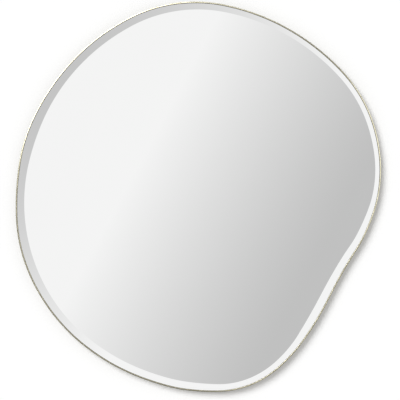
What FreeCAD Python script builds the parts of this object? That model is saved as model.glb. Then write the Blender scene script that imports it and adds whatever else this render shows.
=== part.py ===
import FreeCAD, Part
import math
import os

from FreeCAD import Vector

# A wall mirror of free-form outline, in millimetres.  A silvered glass with a hand-ground facet
# is glued to a fibreboard back, inside a rim bent from flat brass-plated bar.  Small tabs inside
# the rim are screwed to the board.  Keyhole hangers at the rim's rear edge carry the mirror,
# upright or on its side, and rubber bumpers hold it off the wall.
#
# X points right and Z up as the mirror is looked at, and Y points from the viewer to the wall.
# The origin is the centre of the whole mirror's box.

# ---------------------------------------------------------------- driving dimensions

# Outer face of the rim, anticlockwise from the right: x, z and the facet's width there.
# Tangent arcs run through the points.  The facet is wide on the left and narrow on the right.
OUTLINE = [
    (423.0, 25.0, 10.5),
    (406.5, 175.0, 11.0),
    (243.0, 371.5, 11.5),
    (-134.0, 429.0, 16.5),
    (-196.0, 396.5, 17.0),
    (-327.5, 276.0, 18.0),
    (-413.5, 91.5, 19.5),
    (-417.5, 66.5, 18.0),
    (-403.0, -152.5, 19.0),
    (-323.0, -290.0, 17.0),
    (-209.0, -384.0, 17.0),
    (-117.0, -426.0, 16.5),
    (-31.5, -448.0, 16.5),
    (122.5, -437.5, 13.5),
    (241.0, -340.5, 15.0),
    (255.5, -320.0, 16.5),
    (348.0, -156.5, 16.5),
    (387.0, -91.0, 14.5),
]

# Rim, bent from flat bar that stands on edge
RIM_THICKNESS = 3.0
RIM_LIP = 1.5
RIM_CHAMFER = 0.5

# Glass
GLASS_THICKNESS = 5.0
GLASS_GAP = 0.6
FACET_DROP = 2.2
ARRIS = 0.4
FILM_THICKNESS = 0.2
FILM_MARGIN = 2.0

# Pads that keep the glass off the rim
PAD_COUNT = 10
PAD_LENGTH = 22.0
PAD_SETBACK = 0.3

# Foam tape and beads of adhesive between glass and board
TAPE_THICKNESS = 1.0
TAPE_WIDTH = 25.0
TAPE_COUNT = 5
TAPE_SPACING = 140.0
TAPE_MARGIN = 45.0
BEAD_WIDTH = 9.0
BEAD_MARGIN = 90.0

# Board
BOARD_THICKNESS = 8.0
BOARD_GAP = 0.8
BOARD_CHAMFER = 0.8

# Tabs welded inside the rim, against the back of the board
TAB_COUNT = 8
TAB_PHASE = 0.8
TAB_THICKNESS = 1.5
TAB_WIDTH = 22.0
TAB_REACH = 24.0
TAB_HOLE_INSET = 12.0

# Countersunk wood screws, one for each tab
SCREW_RADIUS = 1.5
SCREW_HEAD_RADIUS = 3.0
SCREW_HEAD_HEIGHT = 1.5
SCREW_LENGTH = 8.0
SCREW_CLEARANCE = 0.1

# Hangers welded inside the rim's rear edge, with room for a screw's head before them
HANGER_THICKNESS = 2.0
HANGER_WIDTH = 52.0
HANGER_REACH = 50.0
HANGER_SPACING = 400.0
HOOK_ROOM = 4.5
KEYHOLE_RADIUS = 5.0
KEYHOLE_SLOT_WIDTH = 5.0
KEYHOLE_TRAVEL = 10.0
KEYHOLE_DROP = 18.0

# Round rubber bumpers on the board, between the tabs
WALL_GAP = 1.5
BUMPER_RADIUS = 8.0
BUMPER_CHAMFER = 1.0
BUMPER_COUNT = 4
BUMPER_INSET = 42.0

# ---------------------------------------------------------------- depths along Y

BUMPER_THICKNESS = HOOK_ROOM + HANGER_THICKNESS + WALL_GAP
DEPTH = GLASS_THICKNESS + FILM_THICKNESS + TAPE_THICKNESS + BOARD_THICKNESS + BUMPER_THICKNESS
GLASS_FRONT = -DEPTH / 2
FACET_FOOT = GLASS_FRONT + FACET_DROP
RIM_FRONT = FACET_FOOT - RIM_LIP
GLASS_BACK = GLASS_FRONT + GLASS_THICKNESS
FILM_BACK = GLASS_BACK + FILM_THICKNESS
BOARD_FRONT = FILM_BACK + TAPE_THICKNESS
BOARD_BACK = BOARD_FRONT + BOARD_THICKNESS
TAB_BACK = BOARD_BACK + TAB_THICKNESS
HANGER_FRONT = BOARD_BACK + HOOK_ROOM
RIM_BACK = HANGER_FRONT + HANGER_THICKNESS

# Insets from the rim's outer face
GLASS_INSET = RIM_THICKNESS + GLASS_GAP
BOARD_INSET = RIM_THICKNESS + BOARD_GAP
FILM_INSET = GLASS_INSET + FILM_MARGIN


# ---------------------------------------------------------------- chains of tangent arcs

def inward(heading):
    """Unit vector to the left of a heading, which points into the mirror."""
    return Vector(-heading.z, 0, heading.x)


def heading_at(before, here, after):
    """Heading, at the middle one, of the circle through three points."""
    back = here - before
    ahead = after - here
    blend = back * (ahead.Length / back.Length) + ahead * (back.Length / ahead.Length)
    return blend.normalize()


def meeting_station(start, start_heading, end, end_heading):
    """Point and heading where the two tangent arcs between two stations meet."""
    chord = end - start
    along = chord.dot(start_heading + end_heading)
    bend = 2 * (1 - start_heading.dot(end_heading))
    square = chord.dot(chord)
    reach = square / (along + math.sqrt(along * along + bend * square))
    first = start + start_heading * reach
    second = end - end_heading * reach
    return (first + second) * 0.5, (second - first).normalize()


def chain_through(points):
    """Stations (point, heading) of a closed chain of tangent arcs through the points."""
    count = len(points)
    headings = []
    for i in range(count):
        headings.append(heading_at(points[i - 1], points[i], points[(i + 1) % count]))
    stations = []
    for i in range(count):
        j = (i + 1) % count
        stations.append((points[i], headings[i]))
        stations.append(meeting_station(points[i], headings[i], points[j], headings[j]))
    return stations


def inset(stations, distance):
    """The chain moved into the mirror by a distance, with every arc on its old centre."""
    return [(point + inward(heading) * distance, heading) for point, heading in stations]


def arc_between(start, heading, end):
    """Arc that leaves start along heading and ends at end."""
    chord = end - start
    turn = math.atan2(heading.x * chord.z - heading.z * chord.x, heading.dot(chord))
    middle = (start + end) * 0.5 - inward(chord) * (math.tan(turn / 2) / 2)
    return Part.Arc(start, middle, end).toShape()


def wire_at(stations, y):
    """Closed wire of the chain's arcs at depth y."""
    shift = Vector(0, y, 0)
    edges = []
    for i, (point, heading) in enumerate(stations):
        following = stations[(i + 1) % len(stations)][0]
        edges.append(arc_between(point + shift, heading, following + shift))
    return Part.Wire(edges)


def plate(stations, front, thickness):
    """Flat plate of the chain's outline."""
    return Part.Face(wire_at(stations, front)).extrude(Vector(0, thickness, 0))


def station_along(stations, share):
    """Point and heading at a share of the chain's length, from its first point."""
    edges = wire_at(stations, 0).Edges
    left = (share % 1) * sum(edge.Length for edge in edges)
    for edge in edges:
        if left <= edge.Length:
            break
        left -= edge.Length
    parameter = edge.getParameterByLength(left)
    return edge.valueAt(parameter), edge.tangentAt(parameter)


def span_at(stations, x):
    """Lowest and highest Z of the chain's outline on the upright line at x."""
    box = wire_at(stations, 0).BoundBox
    line = Part.makeLine(Vector(x, 0, box.ZMin - 1), Vector(x, 0, box.ZMax + 1))
    crossing = Part.Face(wire_at(stations, 0)).common(line).BoundBox
    return crossing.ZMin, crossing.ZMax


def reach_at(stations, z):
    """Leftmost and rightmost X of the chain's outline on the level line at z."""
    box = wire_at(stations, 0).BoundBox
    line = Part.makeLine(Vector(box.XMin - 1, 0, z), Vector(box.XMax + 1, 0, z))
    crossing = Part.Face(wire_at(stations, 0)).common(line).BoundBox
    return crossing.XMin, crossing.XMax


# ---------------------------------------------------------------- the two outlines

def centred_outline():
    """Stations of the rim's outer face, with the middle of its box at the origin."""
    points = [Vector(x, 0, z) for x, z, _ in OUTLINE]
    box = wire_at(chain_through(points), 0).BoundBox
    middle = Vector(box.Center.x, 0, box.Center.z)
    return chain_through([point - middle for point in points])


def facet_ridge(outline):
    """Stations of the ridge where the ground facet meets the flat of the glass."""
    points = []
    for (point, heading), (_, _, width) in zip(outline[::2], OUTLINE):
        points.append(point + inward(heading) * (GLASS_INSET + width))
    return chain_through(points)


# ---------------------------------------------------------------- small shapes

def place(shape, point, heading, y):
    """Move a shape drawn at the origin to a point, with its X along the heading."""
    angle = math.degrees(math.atan2(heading.z, heading.x))
    turn = FreeCAD.Rotation(Vector(0, -1, 0), angle)
    placed = shape.copy()
    placed.Placement = FreeCAD.Placement(Vector(point.x, y, point.z), turn)
    return placed


def block(length, thickness, low, high):
    """Box centred on X, from y 0 back by a thickness, between two heights."""
    return Part.makeBox(length, thickness, high - low, Vector(-length / 2, 0, low))


def stadium(length, width, thickness):
    """Plate with two round ends, lying along X, from y 0 back by a thickness."""
    radius = width / 2
    middle = length / 2 - radius
    shape = block(2 * middle, thickness, -radius, radius)
    for x in (-middle, middle):
        end = Part.makeCylinder(radius, thickness, Vector(x, 0, 0), Vector(0, 1, 0))
        shape = shape.fuse(end)
    return shape.removeSplitter()


def screw(extra):
    """Countersunk screw along -Y with its head's top at y 0, its radii grown by extra."""
    inwards = Vector(0, -1, 0)
    radius = SCREW_RADIUS + extra
    shank_length = SCREW_LENGTH - SCREW_HEAD_HEIGHT
    head = Part.makeCone(SCREW_HEAD_RADIUS + extra, radius, SCREW_HEAD_HEIGHT, Vector(), inwards)
    shank = Part.makeCylinder(radius, shank_length, inwards * SCREW_HEAD_HEIGHT, inwards)
    return head.fuse(shank)


def layered(sections):
    """Solid with straight walls between wires of the same arcs, from front to back."""
    return Part.makeLoft(sections, True, True)


# ---------------------------------------------------------------- glass and what holds it

def mirror_glass(outline):
    """Glass with a ground facet of uneven width in front and a small arris behind."""
    edge = inset(outline, GLASS_INSET)
    return layered([
        wire_at(facet_ridge(outline), GLASS_FRONT),
        wire_at(edge, FACET_FOOT),
        wire_at(edge, GLASS_BACK - ARRIS),
        wire_at(inset(edge, ARRIS), GLASS_BACK),
    ])


def safety_film(outline):
    """Film over the silvered back of the glass."""
    return plate(inset(outline, FILM_INSET), GLASS_BACK, FILM_THICKNESS)


def upright_strip(outline, x, width, margin):
    """Height range of a strip at x that stays a margin inside the film."""
    film = inset(outline, FILM_INSET)
    spans = [span_at(film, x - width / 2), span_at(film, x + width / 2)]
    return max(low for low, _ in spans) + margin, min(high for _, high in spans) - margin


def mounting_tapes(outline):
    """Upright strips of foam tape between the film and the board."""
    tapes = []
    for i in range(TAPE_COUNT):
        x = (i - (TAPE_COUNT - 1) / 2) * TAPE_SPACING
        low, high = upright_strip(outline, x, TAPE_WIDTH, TAPE_MARGIN)
        tape = block(TAPE_WIDTH, TAPE_THICKNESS, low, high)
        tapes.append(tape.translated(Vector(x, FILM_BACK, 0)))
    return tapes


def adhesive_beads(outline):
    """Flattened beads of adhesive midway between the tapes."""
    beads = []
    for i in range(TAPE_COUNT - 1):
        x = (i - (TAPE_COUNT - 2) / 2) * TAPE_SPACING
        low, high = upright_strip(outline, x, BEAD_WIDTH, BEAD_MARGIN)
        bead = stadium(high - low, BEAD_WIDTH, TAPE_THICKNESS)
        beads.append(place(bead, Vector(x, 0, (low + high) / 2), Vector(0, 0, 1), FILM_BACK))
    return Part.makeCompound(beads)


def glass_edge_pads(outline):
    """Thin pads between the edge of the glass and the rim, evenly spaced round it."""
    front = FACET_FOOT + PAD_SETBACK
    depth = GLASS_BACK - ARRIS - front
    gap = plate(inset(outline, RIM_THICKNESS), front, depth)
    gap = gap.cut(plate(inset(outline, GLASS_INSET), front, depth))
    blank = block(PAD_LENGTH, depth, 0, 2 * GLASS_INSET)
    pads = []
    for i in range(PAD_COUNT):
        point, heading = station_along(outline, i / PAD_COUNT)
        pads.append(gap.common(place(blank, point, heading, front)))
    return Part.makeCompound([pad.Solids[0] for pad in pads])


# ---------------------------------------------------------------- rim and tabs

def rim_wall(outline, distance, chamfer):
    """Solid inside a wall of the rim, whose front edge is set in by a chamfer."""
    wall = inset(outline, distance)
    return layered([
        wire_at(inset(wall, chamfer), RIM_FRONT),
        wire_at(wall, RIM_FRONT + RIM_CHAMFER),
        wire_at(wall, RIM_BACK),
    ])


def rim_band(outline):
    """Flat bar bent round the outline and welded shut, with both front edges broken."""
    outer = rim_wall(outline, 0, RIM_CHAMFER)
    return outer.cut(rim_wall(outline, RIM_THICKNESS, -RIM_CHAMFER))


def tab_stations(outline):
    """Where the tabs stand on the rim's outer face, the first a share of the spacing along."""
    return [station_along(outline, (i + TAB_PHASE) / TAB_COUNT) for i in range(TAB_COUNT)]


def tab_screw_points(outline):
    """Centres of the tab screws."""
    reach = RIM_THICKNESS + TAB_HOLE_INSET
    return [point + inward(heading) * reach for point, heading in tab_stations(outline)]


def round_nosed(width, reach, thickness):
    """Plate that rises from z 0 to its reach, where it ends in a half round."""
    radius = width / 2
    straight = reach - radius
    nose = Part.makeCylinder(radius, thickness, Vector(0, 0, straight), Vector(0, 1, 0))
    return block(width, thickness, 0, straight).fuse(nose).removeSplitter()


def rim_tabs(outline, drill):
    """Tabs that follow the rim's inner wall and end in a half round, each with its hole."""
    inside = plate(inset(outline, RIM_THICKNESS), BOARD_BACK, TAB_THICKNESS)
    blank = round_nosed(TAB_WIDTH, RIM_THICKNESS + TAB_REACH, TAB_THICKNESS)
    tabs = []
    for (point, heading), hole in zip(tab_stations(outline), tab_screw_points(outline)):
        tab = inside.common(place(blank, point, heading, BOARD_BACK))
        tabs.append(tab.cut(drill.translated(Vector(hole.x, TAB_BACK, hole.z))))
    return tabs


# ---------------------------------------------------------------- hangers

def hanger_stations(outline):
    """Where each hanger's depth is counted from, and the heading whose left points from there
    into the mirror.  A pair starts level, where the nearer of its two walls is."""
    wall = inset(outline, RIM_THICKNESS)
    half = HANGER_SPACING / 2
    top = min(span_at(wall, -half)[1], span_at(wall, half)[1])
    side = max(reach_at(wall, -half)[0], reach_at(wall, half)[0])
    leftwards = Vector(-1, 0, 0)
    down = Vector(0, 0, -1)
    return {
        "top_left": (Vector(-half, 0, top), leftwards),
        "top_right": (Vector(half, 0, top), leftwards),
        "side_upper": (Vector(side, 0, half), down),
        "side_lower": (Vector(side, 0, -half), down),
    }


def keyhole(thickness):
    """Cutter for a keyhole that rises from its round entry to a slot's end near the rim."""
    backwards = Vector(0, 1, 0)
    low = KEYHOLE_DROP + KEYHOLE_TRAVEL
    entry = Part.makeCylinder(KEYHOLE_RADIUS, thickness, Vector(0, 0, low), backwards)
    end = Part.makeCylinder(KEYHOLE_SLOT_WIDTH / 2, thickness, Vector(0, 0, KEYHOLE_DROP), backwards)
    return entry.fuse([end, block(KEYHOLE_SLOT_WIDTH, thickness, KEYHOLE_DROP, low)])


def hangers(outline):
    """Plates that follow the rim's inner wall at its rear edge, each with a keyhole.
    A root longer than the wall slopes away is cut off by the wall."""
    inside = plate(inset(outline, RIM_THICKNESS), HANGER_FRONT, HANGER_THICKNESS)
    blank = round_nosed(HANGER_WIDTH, HANGER_REACH, HANGER_THICKNESS)
    root = block(HANGER_WIDTH, HANGER_THICKNESS, -HANGER_WIDTH, 0)
    blank = blank.fuse(root).removeSplitter().cut(keyhole(HANGER_THICKNESS))
    plates = {}
    for name, (point, heading) in hanger_stations(outline).items():
        plates[name] = inside.common(place(blank, point, heading, HANGER_FRONT))
    return plates


# ---------------------------------------------------------------- board, screws, bumpers

def backing_board(outline, drill):
    """Board with chamfered edges and the screws' holes."""
    wide = inset(outline, BOARD_INSET)
    narrow = inset(wide, BOARD_CHAMFER)
    board = layered([
        wire_at(narrow, BOARD_FRONT),
        wire_at(wide, BOARD_FRONT + BOARD_CHAMFER),
        wire_at(wide, BOARD_BACK - BOARD_CHAMFER),
        wire_at(narrow, BOARD_BACK),
    ])
    holes = [drill.translated(Vector(p.x, TAB_BACK, p.z)) for p in tab_screw_points(outline)]
    return board.cut(holes)


def tab_screws(outline):
    """A group of separate screws, one through each tab."""
    one = screw(0)
    places = [Vector(point.x, TAB_BACK, point.z) for point in tab_screw_points(outline)]
    return Part.makeCompound([one.translated(place) for place in places])


def wall_bumpers(outline):
    """Round bumpers on the back of the board, chamfered where they meet the wall."""
    straight = BUMPER_THICKNESS - BUMPER_CHAMFER
    backwards = Vector(0, 1, 0)
    foot = Part.makeCylinder(BUMPER_RADIUS, straight, Vector(), backwards)
    face = Part.makeCone(BUMPER_RADIUS, BUMPER_RADIUS - BUMPER_CHAMFER, BUMPER_CHAMFER,
                         backwards * straight, backwards)
    blank = foot.fuse(face)
    bumpers = []
    for i in range(BUMPER_COUNT):
        point, heading = station_along(outline, (i + 0.5) / BUMPER_COUNT)
        centre = point + inward(heading) * BUMPER_INSET
        bumpers.append(blank.translated(Vector(centre.x, BOARD_BACK, centre.z)))
    return bumpers


# ---------------------------------------------------------------- the whole mirror

def all_nodes():
    """Every sub-part's shape by the name of its node."""
    outline = centred_outline()
    drill = screw(SCREW_CLEARANCE)
    nodes = {
        "mirror_glass": mirror_glass(outline),
        "safety_film": safety_film(outline),
        "adhesive_beads": adhesive_beads(outline),
        "glass_edge_pads": glass_edge_pads(outline),
        "rim_band": rim_band(outline),
        "backing_board": backing_board(outline, drill),
        "tab_screws": tab_screws(outline),
    }
    for number, tape in enumerate(mounting_tapes(outline), 1):
        nodes[f"mounting_tape_{number}"] = tape
    for number, tab in enumerate(rim_tabs(outline, drill), 1):
        nodes[f"rim_tab_{number}"] = tab
    for name, hanger in hangers(outline).items():
        nodes[f"hanger_{name}"] = hanger
    for number, bumper in enumerate(wall_bumpers(outline), 1):
        nodes[f"wall_bumper_{number}"] = bumper
    return nodes


def main():
    """Write one STEP file for each node."""
    os.makedirs("parts", exist_ok=True)
    for name, shape in all_nodes().items():
        box = shape.BoundBox
        print(f"{name}: {len(shape.Solids)} solid(s), valid {shape.isValid()}, "
              f"{shape.Volume / 1000:.2f} cm3, box {box.XLength:.1f} {box.YLength:.1f} {box.ZLength:.1f}")
        shape.exportStep(f"parts/{name}.step")


main()
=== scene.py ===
import logging
import math
from dataclasses import dataclass, field
from enum import Enum, IntEnum

import bmesh
import bpy
import numpy as np
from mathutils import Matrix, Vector


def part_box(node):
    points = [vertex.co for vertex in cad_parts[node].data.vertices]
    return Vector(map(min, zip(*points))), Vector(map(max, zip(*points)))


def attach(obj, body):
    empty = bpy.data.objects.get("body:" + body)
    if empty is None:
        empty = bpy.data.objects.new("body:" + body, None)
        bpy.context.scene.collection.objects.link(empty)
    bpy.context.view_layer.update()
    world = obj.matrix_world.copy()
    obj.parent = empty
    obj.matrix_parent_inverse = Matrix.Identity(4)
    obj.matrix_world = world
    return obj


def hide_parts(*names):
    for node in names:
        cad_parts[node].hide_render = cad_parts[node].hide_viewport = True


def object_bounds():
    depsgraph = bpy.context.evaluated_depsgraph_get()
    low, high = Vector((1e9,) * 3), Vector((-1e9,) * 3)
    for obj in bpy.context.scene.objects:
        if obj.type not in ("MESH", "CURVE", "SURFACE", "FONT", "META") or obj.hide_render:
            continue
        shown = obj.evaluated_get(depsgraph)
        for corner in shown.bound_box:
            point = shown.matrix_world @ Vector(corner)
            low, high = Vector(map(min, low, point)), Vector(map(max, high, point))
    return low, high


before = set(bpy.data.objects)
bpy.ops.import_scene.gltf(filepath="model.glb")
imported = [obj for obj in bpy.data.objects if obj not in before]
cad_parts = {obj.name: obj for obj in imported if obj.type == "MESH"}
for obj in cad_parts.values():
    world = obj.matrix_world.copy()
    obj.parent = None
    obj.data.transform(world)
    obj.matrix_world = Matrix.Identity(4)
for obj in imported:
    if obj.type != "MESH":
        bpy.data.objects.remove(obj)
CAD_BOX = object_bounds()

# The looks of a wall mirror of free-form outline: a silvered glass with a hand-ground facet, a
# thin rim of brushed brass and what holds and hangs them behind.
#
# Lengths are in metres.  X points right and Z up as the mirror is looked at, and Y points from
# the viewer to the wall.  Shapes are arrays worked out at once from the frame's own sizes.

LOG = logging.getLogger("wall_mirror")
Socket = bpy.types.NodeSocket
Material = bpy.types.Material

MM = 0.001
LEVEL = 0.01 * MM  # points within this of a depth lie at it
NOISE = (0.3, 0.7)  # most of a noise's values lie between these
WHITE = (1.0, 1.0, 1.0)
ROOT = "root"
GLASS = "mirror_glass"
RIM = "rim_band"
SCREWS = "tab_screws"
TABS, HANGERS, BUMPERS = "rim_tab_", "hanger_", "wall_bumper_"


# ---------------------------------------------------------------- named choices

class Slot(str, Enum):
    """The record's material slots, one passed with each new piece."""

    MIRROR = "mirror_glass"
    RIM = "rim_brass"
    SCREW = "screw"
    TAB = "tab_brass"
    BUMPER = "bumper"


class Lay(Enum):
    """What a pattern is laid out on."""

    SPACE = "Object"
    SURFACE = "UV"


class RimSide(IntEnum):
    """Sides of the rim.  The inner wall's dark finish is painted shade for the gap beside the
    glass.
    """

    BRUSHED = 0
    INNER = 1


class GlassSide(IntEnum):
    """Sides of the glass, each with its own finish."""

    SILVERED = 0
    GROUND = 1
    PAINTED = 2


# ---------------------------------------------------------------- node trees

class Graph:
    """A node tree that is being filled, with short calls for what it needs most."""

    def __init__(self, tree: bpy.types.NodeTree) -> None:
        """Start on an empty tree.

        Args:
            tree: The tree of a material, a world or a node group.
        """
        self.tree = tree
        tree.nodes.clear()

    def feed(self, socket: Socket, value: object) -> None:
        """Link a socket to another one, or set it to a plain value.

        Args:
            socket: The input.
            value: The source socket or the value.
        """
        if isinstance(value, Socket):
            self.tree.links.new(value, socket)
        else:
            socket.default_value = value

    def node(self, kind: str, inputs: dict | None = None, **settings: object) -> bpy.types.Node:
        """Add a node.

        Args:
            kind: Blender's name of the node's type.
            inputs: Value or source socket by the input's name or number.
            settings: Properties of the node itself.

        Returns:
            The new node.
        """
        made = self.tree.nodes.new(kind)
        for name, value in settings.items():
            setattr(made, name, value)
        for name, value in (inputs or {}).items():
            self.feed(made.inputs[name], value)
        return made

    def math(self, operation: str, *values: object, clamp: bool = False) -> Socket:
        """Add a Math node and give its result."""
        inputs = dict(enumerate(values))
        return self.node("ShaderNodeMath", inputs, operation=operation, use_clamp=clamp).outputs[0]

    def ramp(self, value: object, low: float, high: float, start: float = 0.0,
             end: float = 1.0, smooth: bool = True) -> Socket:
        """Map a value from low..high to start..end, held at both ends.

        Args:
            value: The value to map.
            low: Value that gives start.
            high: Value that gives end.
            start: Result at and below low.
            end: Result at and above high.
            smooth: Ease in and out, and not run straight.

        Returns:
            The socket of the result.
        """
        inputs = {"Value": value, "From Min": low, "From Max": high, "To Min": start, "To Max": end}
        kind = "SMOOTHSTEP" if smooth else "LINEAR"
        return self.node("ShaderNodeMapRange", inputs, interpolation_type=kind).outputs["Result"]

    def lead(self, share: object, start: object, end: object) -> Socket:
        """Give start plus a share of the way from it to end."""
        return self.math("MULTIPLY_ADD", share, self.math("SUBTRACT", end, start), start)

    def weighed(self, first: object, share: float, second: object) -> Socket:
        """Add a share of the first value to the rest of the second."""
        return self.math("MULTIPLY_ADD", first, share, self.math("MULTIPLY", second, 1 - share))

    def blend(self, share: object, first: object, second: object) -> Socket:
        """Mix two linear colours by the second one's share."""
        first, second = ((*c, 1.0) if isinstance(c, tuple) else c for c in (first, second))
        return self.node("ShaderNodeMix", {0: share, 6: first, 7: second}, data_type="RGBA",
                         clamp_factor=True).outputs[2]

    def noise(self, vector: object, scale: float = 1.0, detail: float = 2.0,
              roughness: float = 0.5) -> Socket:
        """Add cloudy noise and give its value."""
        inputs = {"Vector": vector, "Scale": scale, "Detail": detail, "Roughness": roughness}
        return self.node("ShaderNodeTexNoise", inputs, noise_dimensions="3D").outputs[0]

    def axis(self, vector: object, name: str) -> Socket:
        """Give one coordinate of a vector."""
        return self.node("ShaderNodeSeparateXYZ", {0: vector}).outputs[name]

    def scaled(self, vector: object, factor: object) -> Socket:
        """Scale coordinates by one factor."""
        inputs = {0: vector, "Scale": factor}
        return self.node("ShaderNodeVectorMath", inputs, operation="SCALE").outputs[0]

    def stretched(self, vector: object, scale: tuple) -> Socket:
        """Scale coordinates by a different factor along each axis."""
        return self.node("ShaderNodeMapping", {"Vector": vector, "Scale": scale}).outputs[0]


class Effect:
    """A pattern that several finishes share, kept as one node group.

    Attributes:
        name: Name of the group.
        values: Its inputs besides Vector, with their first values.
        results: Its outputs.
    """

    name: str = ""
    values: dict = {}
    results: tuple = ()

    def __init__(self) -> None:
        """Build the group with its named sockets."""
        self.group = bpy.data.node_groups.new(self.name, "ShaderNodeTree")
        face = self.group.interface
        face.new_socket("Vector", in_out="INPUT", socket_type="NodeSocketVector")
        for name, value in self.values.items():
            socket = face.new_socket(name, in_out="INPUT", socket_type="NodeSocketFloat")
            socket.default_value = value
        for name in self.results:
            face.new_socket(name, in_out="OUTPUT", socket_type="NodeSocketFloat")
        graph = Graph(self.group)
        given = graph.node("NodeGroupInput").outputs
        made = self.build(graph, {socket.name: socket for socket in given if socket.name})
        graph.node("NodeGroupOutput", made)

    def build(self, graph: Graph, given: dict) -> dict:
        """Fill the group.

        Args:
            graph: The group's tree.
            given: Its input sockets by name.

        Returns:
            The result sockets by name.
        """
        raise NotImplementedError

    def place(self, graph: Graph, vector: object, **values: float) -> dict:
        """Put the effect into a material.

        Args:
            graph: The material's tree.
            vector: Coordinates in metres.
            values: The group's other inputs by name.

        Returns:
            The result sockets by name.
        """
        made = graph.node("ShaderNodeGroup", node_tree=self.group)
        for name, value in {"Vector": vector, **values}.items():
            graph.feed(made.inputs[name], value)
        return {socket.name: socket for socket in made.outputs}


class Brushing(Effect):
    """Fine lines along the first coordinate: two noises, each stretched along the lines.

    Lines is a value of fine lines alone, and Tone adds slow streaks to them.
    """

    name = "brushed_lines"
    values = {"Fineness": 1.0}
    results = ("Lines", "Tone")
    FINE = (60.0, 5200.0, 5200.0)
    FINE_RANGE = (0.28, 0.72)
    SLOW = (9.0, 420.0, 420.0)
    SLOW_SHARE = 0.4

    def build(self, graph: Graph, given: dict) -> dict:
        """Fine lines of about 0.15 mm and streaks of a few millimetres."""
        scaled = graph.scaled(given["Vector"], given["Fineness"])
        fine = graph.noise(graph.stretched(scaled, self.FINE), detail=3.0)
        slow = graph.noise(graph.stretched(scaled, self.SLOW), detail=2.0)
        lines = graph.ramp(fine, *self.FINE_RANGE, smooth=False)
        streaks = graph.ramp(slow, *NOISE, smooth=False)
        return {"Lines": lines, "Tone": graph.weighed(streaks, self.SLOW_SHARE, lines)}


class Haze(Effect):
    """Soft uneven patches: a cloudy noise eased between two levels, at a given size."""

    name = "soft_patches"
    values = {"Size": 0.08}
    results = ("Patches",)
    RANGE = (0.32, 0.68)

    def build(self, graph: Graph, given: dict) -> dict:
        """Patches about as wide as Size."""
        divided = graph.scaled(given["Vector"], graph.math("DIVIDE", 1.0, given["Size"]))
        cloud = graph.noise(divided, detail=5.0, roughness=0.55)
        return {"Patches": graph.ramp(cloud, *self.RANGE)}


class Grain(Effect):
    """The small bumps of paint, rubber and foam: domes of a given size under fine noise."""

    name = "fine_grain"
    values = {"Size": 0.001}
    results = ("Height",)
    FINE_SCALE = 2.6
    FINE_SHARE = 0.45

    def build(self, graph: Graph, given: dict) -> dict:
        """Height of the bumps, from 0 to 1: each dome falls with the distance to its middle."""
        divided = graph.scaled(given["Vector"], graph.math("DIVIDE", 1.0, given["Size"]))
        cells = graph.node("ShaderNodeTexVoronoi", {"Vector": divided, "Scale": 1.0})
        dome = graph.math("SUBTRACT", 1.0, cells.outputs["Distance"], clamp=True)
        fine = graph.noise(divided, self.FINE_SCALE, 3.0)
        return {"Height": graph.weighed(fine, self.FINE_SHARE, dome)}


class Dust(Effect):
    """Dust that settles on what faces up: the normal's height times a patchy, specked mask."""

    name = "settled_dust"
    values = {"Amount": 0.3}
    results = ("Cover",)
    FACING = (-0.3, 0.9)
    ON_SIDES = 0.12
    CLOUD = {"scale": 38.0, "detail": 6.0, "roughness": 0.65}
    CLOUD_RANGE = (0.35, 0.7)
    FLUFF = {"scale": 1400.0, "detail": 2.0, "roughness": 0.6}
    FLUFF_RANGE = (0.35, 0.75)
    LEAST_FLUFF = 0.5

    def build(self, graph: Graph, given: dict) -> dict:
        """Share of the surface that dust covers."""
        normal = graph.node("ShaderNodeNewGeometry").outputs["Normal"]
        facing = graph.ramp(graph.axis(normal, "Z"), *self.FACING, self.ON_SIDES)
        cloud = graph.ramp(graph.noise(given["Vector"], **self.CLOUD), *self.CLOUD_RANGE)
        fine = graph.noise(given["Vector"], **self.FLUFF)
        fluff = graph.ramp(fine, *self.FLUFF_RANGE, self.LEAST_FLUFF)
        mask = graph.math("MULTIPLY", cloud, fluff)
        cover = graph.math("MULTIPLY", mask, graph.math("MULTIPLY", facing, given["Amount"]))
        return {"Cover": cover}


class Effects:
    """The shared effects, each built once."""

    def __init__(self) -> None:
        """Build every group."""
        self.brushing = Brushing()
        self.haze = Haze()
        self.grain = Grain()
        self.dust = Dust()


# ---------------------------------------------------------------- finishes

@dataclass(frozen=True)
class Swatch:
    """A material that is being filled.

    Attributes:
        graph: Its node tree.
        effects: The shared effects.
        vector: The coordinates that its pattern is laid out on.
    """

    graph: Graph
    effects: Effects
    vector: Socket

    def patches(self, size: float) -> Socket:
        """Add soft patches and give their value."""
        return self.effects.haze.place(self.graph, self.vector, Size=size)["Patches"]

    def grain(self, size: float) -> Socket:
        """Add small bumps and give their height."""
        return self.effects.grain.place(self.graph, self.vector, Size=size)["Height"]

    def dust(self, amount: float) -> Socket:
        """Add dust and give its cover."""
        return self.effects.dust.place(self.graph, self.vector, Amount=amount)["Cover"]


@dataclass(frozen=True)
class Finish:
    """One procedural finish.  Each kind fills in build().

    Attributes:
        name: The material's name.
        lay: What its pattern is laid out on.
        patch: Width of its soft patches.
        relief: Height of its bumps or lines.
    """

    name: str
    lay: Lay = Lay.SPACE
    patch: float = 0.02
    relief: float = 0.00004

    def build(self, on: Swatch) -> dict:
        """Work out the shader's inputs.

        Args:
            on: The material that is being filled.

        Returns:
            The shader's inputs by name, with Height where it has a bump.
        """
        raise NotImplementedError

    def material(self, effects: Effects) -> Material:
        """Make the material.

        Args:
            effects: The shared node groups.

        Returns:
            The new material.
        """
        made = bpy.data.materials.new(self.name)
        made.use_nodes = True
        graph = Graph(made.node_tree)
        vector = graph.node("ShaderNodeTexCoord").outputs[self.lay.value]
        inputs = self.build(Swatch(graph, effects, vector))
        height = inputs.pop("Height", None)
        if height is not None:
            bump = graph.node("ShaderNodeBump", {"Height": height, "Distance": self.relief})
            inputs["Normal"] = bump.outputs["Normal"]
        shader = graph.node("ShaderNodeBsdfPrincipled", inputs)
        graph.node("ShaderNodeOutputMaterial", {"Surface": shader.outputs[0]})
        return made


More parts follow.
